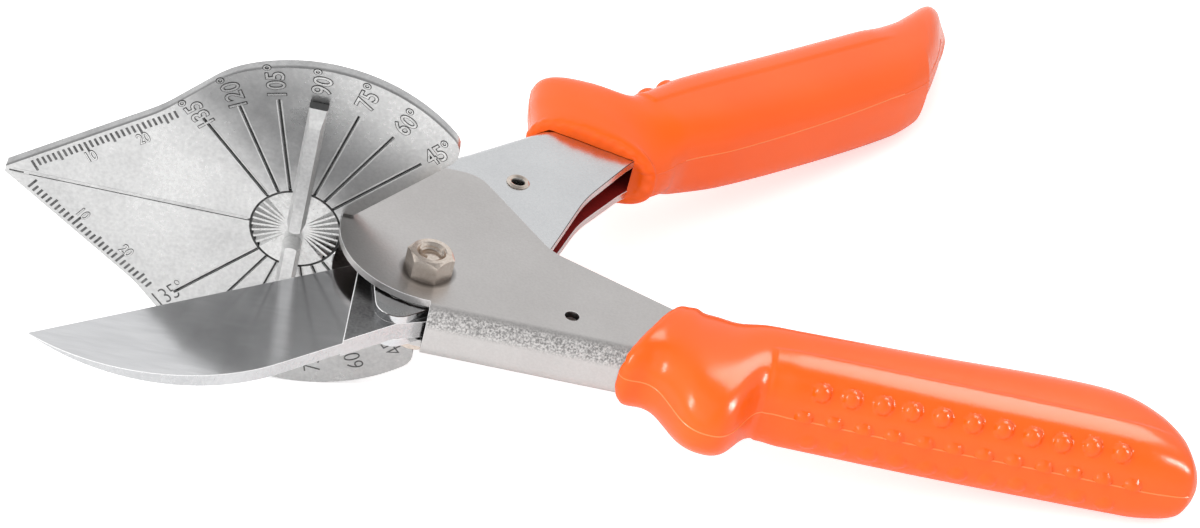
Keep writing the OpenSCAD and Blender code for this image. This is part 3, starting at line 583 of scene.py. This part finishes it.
# pieces whose rounded edges carry the painted highlight
highlightEdged = ("frontChannel", "rearChannel", "blade")
metals = {}
for node, name, width, body, finish, slot in eased:
    if name == "fence":
        metals[name] = softCopy(node, name, width, degrees=24, least=1.2)
    else:
        metals[name] = softCopy(node, name, width, highlightSlot=1 if name in highlightEdged else 0)
    dress(metals[name], body, finish, slot, node)


# True on a channel's inner faces: its cheeks towards the middle and its back towards the open side
def insideOf(middle, normal, backSide, backTurn):
    cheek = normal.z * middle.z < 0 and abs(normal.z) > 0.5
    return cheek or (normal.xy.dot(backTurn) > 0.6 and middle.xy.dot(backTurn) < backSide)


# The upper edge of the rear channel's open side
def openEdge(middle, normal):
    return middle.z > 0 and normal.z > 0.15 and normal.xy.dot(rearIn) > 0.15


paintLook = {"frontBack": -9.5, "rearBack": -24.5, "rootFace": 1.56, "barEnd": 10, "barFoot": 10.0}
frontIn = Vector((0, 1))
rearLine = Vector((math.cos(rearTurn), math.sin(rearTurn)))
rearIn = Vector((math.sin(rearTurn), -math.cos(rearTurn)))
# the front channel's inner faces are painted dark, as the shade inside it
anotherFinish(metals["frontChannel"], insideShade,
              lambda c, n: insideOf(c, n, paintLook["frontBack"], frontIn))
anotherFinish(metals["rearChannel"], insideMaroon,
              lambda c, n: insideOf(c, n, paintLook["rearBack"], rearIn))
# the lower round of the rear channel's open edge is painted dark, as a line of shade
anotherFinish(metals["rearChannel"], insideShade, openEdge, 1)
# the blade's root faces are painted dark, as the shade they lie in
anotherFinish(metals["blade"], rootShade, lambda c, n: abs(c.z) > paintLook["rootFace"] and abs(n.z) > 0.9)
anotherFinish(metals["blade"], spineGrey, lambda c, n: abs(n.z) < 0.5)
# the bar's end faces take the darker edge finish, painted dark as shade
anotherFinish(metals["fence"], castEdgeAndShade, lambda c, n: abs(n.z) > 0.8 and abs(c.z) > paintLook["barEnd"])
anotherFinish(metals["fence"], barPale, lambda c, n: c.y < paintLook["barFoot"])

# Thread seen in the nut's mouth over the sunk end of the bolt
threadLook = {"radius": 2.06, "depth": 0.34, "foot": 0.6, "pitch": 0.7, "turns": 1.7, "steps": 60,
              "from": 7.35}
threadRoot, threadFoot = threadLook["radius"] * mm, threadLook["foot"] * mm
threadCrest = (threadRoot - threadLook["depth"] * mm, 0, threadFoot / 2)
threadSection = [(threadRoot, 0, 0), threadCrest, (threadRoot, 0, threadFoot)]
nutThread = meshPiece("nutThread", threadSection, [], [(0, 1), (1, 2), (2, 0)])
screw = nutThread.modifiers.new("turns", "SCREW")
screw.angle = threadLook["turns"] * math.tau
screw.screw_offset = threadLook["turns"] * threadLook["pitch"] * mm
screw.steps = threadLook["steps"]
screw.render_steps = threadLook["steps"]
applyAll(nutThread)
pick(nutThread)
bpy.ops.object.mode_set(mode="EDIT")
bpy.ops.mesh.select_all(action="DESELECT")
bpy.ops.mesh.select_non_manifold()
bpy.ops.mesh.edge_face_add()  # closes both ends
bpy.ops.object.mode_set(mode="OBJECT")
facesOut(nutThread)
smoothOver(nutThread, 40)
settle(nutThread, layDown @ Matrix.Translation((0, 0, threadLook["from"] * mm)))
dress(nutThread, "front_handle", fixingNickel, "fixings")
print("metal pieces done")

# Tube rivet with rolled lips, spun from its upper half and mirrored
tubeLook = {"spot": (31.4, 15.9), "bore": 1.05, "radius": 1.9, "lip": 2.05, "rise": 0.4, "half": 3.2,
            "steps": 48}
bore, lip, top = tubeLook["bore"], tubeLook["lip"], tubeLook["half"]
crown = top + tubeLook["rise"]
tubeProfile = [(bore, 0), (bore, top - 0.3), (bore + 0.12, top + 0.15), (bore + 0.4, crown - 0.05),
               (bore + 0.66, crown), (lip - 0.16, top + 0.28), (lip, top + 0.08), (lip - 0.05, top + 0.02),
               (tubeLook["radius"], top + 0.02), (tubeLook["radius"], 0)]
tubeEdges = [(k, k + 1) for k in range(len(tubeProfile) - 1)]
springRivet = meshPiece("springRivet", [(r * mm, 0, z * mm) for r, z in tubeProfile], [], tubeEdges)
pick(springRivet)
bpy.ops.object.mode_set(mode="EDIT")
bpy.ops.mesh.select_all(action="SELECT")
bpy.ops.mesh.spin(steps=tubeLook["steps"], angle=math.tau, center=(0, 0, 0), axis=(0, 0, 1))
bpy.ops.mesh.select_all(action="SELECT")
bpy.ops.mesh.remove_doubles(threshold=0.01 * mm)
bpy.ops.object.mode_set(mode="OBJECT")
mirror = springRivet.modifiers.new("underside", "MIRROR")
mirror.use_axis = (False, False, True)
mirror.merge_threshold = 0.02 * mm
applyAll(springRivet)
facesOut(springRivet)
smoothOver(springRivet, 40)
rearPlace = layDown @ Matrix.Rotation(rearTurn, 4, "Z")
settle(springRivet, rearPlace @ Matrix.Translation(Vector((*tubeLook["spot"], 0)) * mm))
dress(springRivet, "rear_handle", fixingNickel, "fixings", "spring_rivet")
tubeAxis = Matrix.Rotation(rearTurn, 2) @ Vector(tubeLook["spot"])


# True on the wall of the tube's bore, which faces its axis
def boreWall(middle, normal):
    outward = middle.xy - tubeAxis
    return normal.xy.dot(outward) < -0.8 * outward.length


# the bore's wall is painted a darker grey, as the shade inside the hole
anotherFinish(springRivet, bushGreyAndBoreShade, boreWall)

# Return spring: two turns round the tube rivet and a leg against the back of each channel
springLook = {"wire": 0.8, "coil": 3.0, "rise": 1.24, "legA": 210.0, "legB": 190.8,
              "coilPoints": 56, "pointsA": 4, "pointsB": 12,
              "rearBack": 27.4, "rearSheet": 1.5, "frontBack": 11.4, "frontSheet": 1.3}


def unitAt(degrees):
    return Vector((math.cos(math.radians(degrees)), math.sin(math.radians(degrees))))


springTurns = 2 - (springLook["legA"] - springLook["legB"]) / 360
springRise = springLook["rise"] * springTurns
coilStart = tubeAxis + springLook["coil"] * unitAt(springLook["legA"])
coilStop = tubeAxis + springLook["coil"] * unitAt(springLook["legB"])
outA = unitAt(springLook["legA"] - 90)
outB = unitAt(springLook["legB"] + 90)
roomA = springLook["rearBack"] - springLook["rearSheet"] - springLook["wire"] + coilStart.dot(rearIn)
roomB = coilStop.y + springLook["frontBack"] - springLook["frontSheet"] - springLook["wire"]
endA = coilStart - outA * roomA / outA.dot(rearIn)
endB = coilStop - outB * roomB / outB.y
pointsA, pointsB = springLook["pointsA"], springLook["pointsB"]
wireLine = [(*endA.lerp(coilStart, k / pointsA), -springRise / 2) for k in range(pointsA)]
for k in range(springLook["coilPoints"] + 1):
    share = k / springLook["coilPoints"]
    spot = tubeAxis + springLook["coil"] * unitAt(springLook["legA"] + 360 * springTurns * share)
    wireLine.append((*spot, springRise * (share - 0.5)))
wireLine += [(*coilStop.lerp(endB, (k + 1) / pointsB), springRise / 2) for k in range(pointsB)]
wire = bpy.data.curves.new("returnSpring", "CURVE")
wire.dimensions = "3D"
wire.bevel_depth = springLook["wire"] / 2 * mm
wire.bevel_resolution = 3
wire.use_fill_caps = True
spline = wire.splines.new("POLY")
spline.points.add(len(wireLine) - 1)
for point, spot in zip(spline.points, wireLine):
    point.co = (*(Vector(spot) * mm), 1)
returnSpring = bpy.data.objects.new("returnSpring", wire)
scene.collection.objects.link(returnSpring)
pick(returnSpring)
bpy.ops.object.convert(target="MESH")
settle(returnSpring, layDown)
smoothOver(returnSpring, 50)
returnSpring.data.materials.append(springGrey)
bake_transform(returnSpring)
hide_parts("return_spring")
print("spring and tube rivet done")

# Grips, as skins over sections: place, inner side, outer side, half thickness, squareness, lean
gripLook = {"half": 8.7, "guard": 8.2, "ringStep": 0.27, "tailDense": 1.25, "columns": 86, "fineSteps": 600,
            "seamRise": 0.09, "seamClose": 0.14, "seamLimit": 0.98, "fadeIn": (1, 6), "fadeOut": (3, 12),
            "domeRadius": 1.6, "domeStep": 5.04, "domePower": 0.55, "domeFrom": 3, "domeTo": 4.5,
            "panelRise": 0.3, "panelBase": 0.4, "panelStart": 0.7, "panelStop": 7, "panelSide": 1.0,
            "pocketSlant": 1.4,
            "lip": ((0.2, 0.45), (0.65, 0.95), (1.3, 1.3), (2.0, 1.45), (2.7, 1.5)),  # how far in and back
            "cap": ((0.72, 0.28), (0.4, 0.45))}  # share of the end's size, and how far out
half, guard = gripLook["half"], gripLook["guard"]
side, tail = 14.3, 131.3  # front grip's outer side and tail
frontStations = [
    (39, 5.4, side - 1.4, 7.5, 2.7, -9), (42.5, 5.8, side - 0.4, 7.8, 2.6, -6),
    (45.5, 6.2, side + guard * 0.84, 8, 2.3, -2), (48.5, 6, side + guard * 1.06, 8.1, 2.3, 0),
    (52, 5.2, side + guard * 0.9, 8.2, 2.3, 0), (56.5, 4.5, side + 0.4, half - 0.3, 2.6, 0),
    (62, 4.1, side - 0.2, half, 2.7, 0), (85, 5, side, half, 2.8, 0), (108, 6.4, side - 0.2, half, 2.8, 0),
    (118, 5.9, side - 0.1, half - 0.2, 2.7, 0), (tail - 7, 2.9, side, half - 0.9, 2.6, 1),
    (tail - 3.2, -0.6, side - 0.7, half - 2.2, 2.4, 2), (tail - 1.7, -3.2, side - 2.4, half - 4.2, 2.3, 2),
    (tail - 1.0, -5.8, side - 4.6, 2.2, 2, 2)]
side, inner, tail = 29.2, -8.7, 150.0  # rear grip's outer and inner side and tail
rearStations = [
    (49.2, inner - 0.4, side - 1.6, 5.8, 2.7, -13.5), (52, inner, side + 2, 6.9, 2.5, -11.5),
    (54.4, inner, side + guard * 0.98, 7.4, 2.3, -7.5), (57.4, inner, side + guard * 1.48, 7.6, 2.3, -4.5),
    (60.8, inner - 0.4, side + guard * 1.06, 7.8, 2.3, -2), (64, inner - 1.2, side + guard * 0.16, 8, 2.4, 0),
    (67, inner - 1.6, side - 1.1, half - 0.3, 2.8, 0), (77, inner - 0.3, side - 0.3, half, 3.1, 0),
    (100, inner + 0.4, side - 0.3, half, 3.1, 0), (tail - 28, inner - 0.2, side - 0.1, half, 3.0, 3),
    (tail - 19, inner - 1.4, side + 0.6, half - 0.2, 2.7, 7),
    (tail - 14.6, inner - 2, side + 2.7, half - 0.4, 2.6, 15),
    (tail - 12.7, inner - 2.7, side + 3.6, half - 0.6, 2.5, 16.5),
    (tail - 11, inner - 3.6, side + 3.8, half - 0.9, 2.5, 17.5),
    (tail - 9.3, inner - 4.8, side + 3.4, half - 1.5, 2.4, 17),
    (tail - 7.85, inner - 6.2, side + 2.5, half - 2.5, 2.4, 15.5),
    (tail - 6.75, inner - 7.6, side + 1.3, half - 4, 2.3, 13.7),
    (tail - 5.65, inner - 9.4, side - 0.3, 3, 2.2, 11.1), (tail - 4.9, inner - 11.2, side - 2.2, 1.5, 2, 8.4)]


# One column of the stations at place x, on a smooth curve through them
def alongStations(stations, x, column):
    final = len(stations) - 1
    k = max([i for i in range(final) if stations[i][0] <= x] or [0])
    before, left, right, after = [stations[min(max(i, 0), final)] for i in range(k - 1, k + 3)]
    span = right[0] - left[0]
    t = (x - left[0]) / span
    leftSlope = (right[column] - before[column]) / max(right[0] - before[0], 0.01) * span
    rightSlope = (after[column] - left[column]) / max(after[0] - left[0], 0.01) * span
    return ((2 * t ** 3 - 3 * t ** 2 + 1) * left[column] + (t ** 3 - 2 * t ** 2 + t) * leftSlope
            + (3 * t ** 2 - 2 * t ** 3) * right[column] + (t ** 3 - t ** 2) * rightSlope)


def stepUp(value, low, high):
    t = np.clip((value - low) / (high - low), 0, 1)
    return t * t * (3 - 2 * t)


# One section, from the outer seam over the top to the inner seam and back below, dense beside the seams
def gripSection(stations, x, seamOuter, seamInner):
    inner, outer, thick, square, lean = [alongStations(stations, x, column) for column in range(1, 6)]
    middle, wide = (inner - outer) / 2, max((inner + outer) / 2, 0.05)
    power = 2 / square
    level = lambda z: math.copysign(math.asin(min(abs(z) / thick, gripLook["seamLimit"]) ** (1 / power)), z)
    fromOuter, fromInner = math.pi - level(seamOuter), level(seamInner)
    ring = []
    for begin, end in ((fromOuter, fromInner), (fromInner + math.tau, fromOuter)):
        angle = np.linspace(begin, end, gripLook["fineSteps"])
        y = wide * np.sign(np.cos(angle)) * np.abs(np.cos(angle)) ** power
        z = thick * np.sign(np.sin(angle)) * np.abs(np.sin(angle)) ** power
        run = np.concatenate([[0], np.cumsum(np.hypot(np.diff(y), np.diff(z)))])
        close = min(gripLook["seamClose"], run[-1] / 200)
        between = np.linspace(close * 2.4, run[-1] - close * 2.4, gripLook["columns"])
        places = np.concatenate([[0, close], between, [run[-1] - close]])
        y, z = np.interp(places, run, y), np.interp(places, run, z)
        ring.append(np.stack([x - lean * y / (2 * wide), middle + y, z], 1))
    return np.concatenate(ring)


def gripNormals(grid):
    normal = np.cross(np.roll(grid, -1, 1) - np.roll(grid, 1, 1), np.gradient(grid, axis=0))
    normal /= np.maximum(np.linalg.norm(normal, axis=2, keepdims=True), 1e-9)
    outward = ((grid - grid.mean(1, keepdims=True)) * normal).sum()
    return normal if outward > 0 else -normal


# Faces over rows of points that go round, closed at both ends
def tubeFaces(rows, around):
    faces = [tuple(range(around)), tuple(range((rows - 1) * around, rows * around))]
    for first in range(0, (rows - 1) * around, around):
        for j in range(around):
            after = (j + 1) % around
            faces.append((first + j, first + after, first + around + after, first + around + j))
    return faces


# A closed skin over the sections, with a raised flash line at the seams and whatever the shape function lifts
def gripSkin(name, stations, start, seamOuter, seamInner, lift, bead):
    first, last = stations[0][0] + start, stations[-1][0]
    count = int((last - first) / gripLook["ringStep"])
    share = 1 - (1 - np.arange(count + 1) / count) ** gripLook["tailDense"]
    places = first + (last - first) * share
    grid = np.array([gripSection(stations, x, seamOuter(x), seamInner(x)) for x in places])
    normal = gripNormals(grid)
    side = grid.shape[1] // 2
    rise = lift(grid)
    rise[:, [0, side]] += gripLook["seamRise"]
    row = np.arange(len(places))[:, None]
    fadeIn = stepUp(row, *gripLook["fadeIn"])
    fadeOut = stepUp(len(places) - row, *gripLook["fadeOut"])
    grid = grid + normal * (rise * fadeIn * fadeOut)[:, :, None]
    rings = list(grid)
    # the mouth's lip rolls in, with a slightly uneven bead of flash
    column = np.arange(grid.shape[1])
    wave = bead * (np.sin(column * 0.9) + np.sin(column * 0.37 + 1.3))[:, None]
    sideways, forward = normal[0] * np.array([0, 1, 1]), np.array([1, 0, 0])
    for inset, back in gripLook["lip"]:
        rings.insert(0, grid[0] - sideways * (inset - wave * 0.5) - forward * (back + wave * 0.3))
    middle, across = grid[-1].mean(0), grid[-1][side] - grid[-1][0]
    outward = np.array([across[1], -across[0], 0]) / np.hypot(across[0], across[1])
    for share, out in gripLook["cap"]:
        rings.append(middle + (grid[-1] - middle) * share + outward * out)
    points = (np.array(rings).reshape(-1, 3) * mm).tolist()
    piece = meshPiece(name, points, tubeFaces(len(rings), grid.shape[1]))
    facesOut(piece)
    return piece


# Takes out the room for the channel: place along the handle, outer side, inner side and half its thickness
def cutPocket(grip, stations):
    slant = gripLook["pocketSlant"]
    points = []
    for x, out, into, thick in stations:
        below = [(out, slant - thick), (out + slant, -thick), (into, -thick)]
        above = [(into, thick), (out + slant, thick), (out, thick - slant)]
        points += [(x * mm, y * mm, z * mm) for y, z in below + above]
    cutter = meshPiece("pocket", points, tubeFaces(len(stations), 6))
    facesOut(cutter)
    cut = grip.modifiers.new("pocket", "BOOLEAN")
    cut.operation = "DIFFERENCE"
    cut.solver = "EXACT"
    cut.object = cutter
    applyAll(grip)
    bpy.data.objects.remove(cutter)


# Round knobs in rows on the outer side: first place, height, where the row is cut off, how many, and rise
def knobRise(grid, rows):
    rise, middle = np.zeros(grid.shape[:2]), grid[:, :, 1].mean()
    for first, z, floorAt, count, high in rows:
        for k in range(count):
            x = first + k * gripLook["domeStep"]
            off = np.hypot(grid[:, :, 0] - x, grid[:, :, 2] - z) + (grid[:, :, 1] > middle)
            centre = grid[np.unravel_index(off.argmin(), off.shape)]
            near = np.linalg.norm(grid - centre, axis=2) / gripLook["domeRadius"]
            knob = high * np.clip(1 - near ** 2, 0, 1) ** gripLook["domePower"]
            rise = np.maximum(rise, knob * (grid[:, :, 2] > floorAt))
    return rise


# The outer side carries a panel, raised a little over the top and the guard's foot, and the knobs stand on it
def outerLift(grid, start, stop, edge, knobs):
    x, y = grid[:, :, 0], -grid[:, :, 1]
    begins = stepUp(x, start, start + gripLook["panelStart"])
    ends = 1 - stepUp(x, stop, stop + gripLook["panelStop"])
    panel = begins * ends * stepUp(y, edge, edge + gripLook["panelSide"])
    onSide = stepUp(y, edge + gripLook["domeFrom"], edge + gripLook["domeTo"])
    return gripLook["panelRise"] * (panel - gripLook["panelBase"]) + knobRise(grid, knobs) * onSide


seamLook = {"front": 0.95, "rear": 2.4, "climbFrom": 67, "climbOver": 50.0, "climb": 0.045}


# Height of the seam along each grip
def frontSeam(x):
    return seamLook["front"]


def rearSeam(x):
    climbed = min(max(0.0, x - seamLook["climbFrom"]), seamLook["climbOver"])
    return seamLook["rear"] + climbed * seamLook["climb"]


frontLook = {"start": 0.1, "bead": 0.04, "panel": (57.2, 120.0, 5.8), "seamPaint": 0.13,
             "knobs": ((66.0, 6.2, -9, 11, 1.15), (64.0, 1.3, 1.15, 12, 1.0), (66.0, -3.4, -9, 11, 0.6)),
             "pocket": [(28, -11.5, 9.2, 4.9), (38, -11.5, 5.0, 4.9), (43, -11.5, 3.2, 4.9),
                        (47, -11.5, 2.1, 4.9), (51, -11.5, 1.7, 4.9), (118, -11.5, 1.7, 4.9)]}
frontGrip = gripSkin("frontGrip", frontStations, frontLook["start"], frontSeam, frontSeam,
                     lambda grid: outerLift(grid, *frontLook["panel"], frontLook["knobs"]), frontLook["bead"])
cutPocket(frontGrip, frontLook["pocket"])
settle(frontGrip, layDown)

rearLook = {"start": 2.2, "bead": 0.1, "panel": (65.6, 122.0, 21.0),
            "seamPaint": 0.1, "seamSpan": (66, 120), "seamSide": -20,
            "knobs": ((69.0, 5.2, -9, 2, 0.8), (79.08, 3.6, -9, 9, 0.8), (72.0, 1.3, 1.15, 11, 0.7),
                      (74.04, -3.4, -9, 10, 0.6)),
            "pocket": [(40, -27.45, -7.6, 3.6), (48, -27.45, -10.6, 3.92), (52, -27.45, -12.0, 4.08),
                       (57, -27.45, -12.8, 4.28), (128, -27.45, -13.3, 4.28)]}
rearGrip = gripSkin("rearGrip", rearStations, rearLook["start"], frontSeam, rearSeam,
                    lambda grid: outerLift(grid, *rearLook["panel"], rearLook["knobs"]), rearLook["bead"])
cutPocket(rearGrip, rearLook["pocket"])
settle(rearGrip, rearPlace @ Matrix.Diagonal((1, -1, 1, 1)))
for piece, body, node in ((frontGrip, "front_handle", "front_grip"), (rearGrip, "rear_handle", "rear_grip")):
    facesOut(piece)
    smoothOver(piece, 40)
    dress(piece, body, orangeSkin, "grip_plastic", node)
    print(piece.name, len(piece.data.polygons), "faces")


def onFrontSeam(middle, normal):
    return abs(middle.z - frontSeam(middle.x)) < frontLook["seamPaint"]


# True on the rear grip's inner seam, behind the guard
def onRearSeam(middle, normal):
    x, (low, high) = middle.xy.dot(rearLine), rearLook["seamSpan"]
    facing = low < x < high and middle.xy.dot(rearIn) > rearLook["seamSide"]
    return facing and abs(middle.z - rearSeam(x)) < rearLook["seamPaint"]


# the raised flash line on each seam is painted a paler orange, as a painted highlight
anotherFinish(frontGrip, seamHighlight, onFrontSeam)
anotherFinish(rearGrip, seamHighlight, onRearSeam)

# Pale floor, soft light all round, a few soft boxes and the photograph's camera
floorLook = {"size": 6.0, "tone": (0.93, 0.93, 0.93, 1), "rough": 0.9, "specular": 0.1, "glow": 0.55}
bpy.ops.object.select_all(action="DESELECT")
bpy.ops.mesh.primitive_plane_add(size=floorLook["size"])
floor = bpy.context.object
floor.name = "floor"
paleFloor = bpy.data.materials.new("paleFloor")
paleFloor.use_nodes = True
floorTree = paleFloor.node_tree
floorShader = floorTree.nodes["Principled BSDF"]
floorSettings = (("Base Color", "tone"), ("Roughness", "rough"), ("Specular IOR Level", "specular"),
                 ("Emission Strength", "glow"))
for label, key in floorSettings:
    floorShader.inputs[label].default_value = floorLook[key]
seen = floorTree.nodes.new("ShaderNodeLightPath").outputs["Is Camera Ray"]
floorTree.links.new(seen, floorShader.inputs["Emission Color"])
floor.data.materials.append(paleFloor)

studioLook = {"light": 0.86, "dim": 0.3, "dimAim": (0.06, -0.25, 0.97), "dimFrom": 0.5, "dimTo": 0.88}
world = bpy.data.worlds.new("studio")
scene.world = world
world.use_nodes = True
sky = world.node_tree
aim = sky.nodes.new("ShaderNodeVectorMath")
aim.operation = "DOT_PRODUCT"
aim.inputs[1].default_value = studioLook["dimAim"]
sky.links.new(sky.nodes.new("ShaderNodeTexCoord").outputs["Generated"], aim.inputs[0])
glow = addRange(sky, aim.outputs["Value"], studioLook["dimFrom"], studioLook["dimTo"],
                studioLook["light"], studioLook["dim"])
sky.links.new(glow, sky.nodes["Background"].inputs["Strength"])
sky.nodes["Background"].inputs["Color"].default_value = (1, 1, 1, 1)


# A soft box that lights either the front grip's gloss or all matt colours, so that each can be set by itself
def softbox(name, spot, aim, width, height, power, gloss):
    data = bpy.data.lights.new(name, "AREA")
    data.shape = "RECTANGLE"
    data.size = width
    data.size_y = height
    data.energy = power
    lamp = bpy.data.objects.new(name, data)
    scene.collection.objects.link(lamp)
    lamp.location = spot
    lamp.rotation_euler = (Vector(aim) - Vector(spot)).to_track_quat("-Z", "Y").to_euler()
    lamp.visible_diffuse = not gloss
    lamp.visible_glossy = gloss
    if gloss:
        lamp.light_linking.receiver_collection = glossyGrips


glossyGrips = bpy.data.collections.new("glossyGrips")
glossyGrips.objects.link(frontGrip)
lightLook = {"glossTop": ((0.38, 0.36, 0.65), (0.08, -0.05, 0.02), 0.42, 0.43, 5.0, True),
             "glossLeft": ((-0.69, -0.3, 0.57), (0.05, -0.05, 0), 0.16, 0.4, 4.0, True),
             "glossRight": ((0.8, -0.2, 0.48), (0.05, -0.05, 0), 0.16, 0.4, 6.5, True),
             "fillLight": ((-0.7, -0.8, 1.5), (0, 0, 0), 2.3, 2.3, 40.0, False)}
for name, look in lightLook.items():
    softbox(name, *look)

cameraLook = {"spot": (-14.61, -392.51, 292.55), "right": (0.97511, 0.05042, 0.21593),
              "down": (0.20438, -0.58202, -0.78707), "lens": 89.4, "sensor": 36.0, "near": 0.01}
camera = bpy.data.objects.new("camera", bpy.data.cameras.new("camera"))
scene.collection.objects.link(camera)
right, down = Vector(cameraLook["right"]).normalized(), Vector(cameraLook["down"]).normalized()
view = Matrix((right, -down, right.cross(-down))).transposed().to_4x4()
view.translation = Vector(cameraLook["spot"]) * mm
camera.matrix_world = layDown @ view
camera.data.sensor_fit = "HORIZONTAL"
camera.data.sensor_width = cameraLook["sensor"]
camera.data.lens = cameraLook["lens"]
camera.data.clip_start = cameraLook["near"]
scene.camera = camera
scene.view_settings.view_transform = "Standard"
print("stage set")
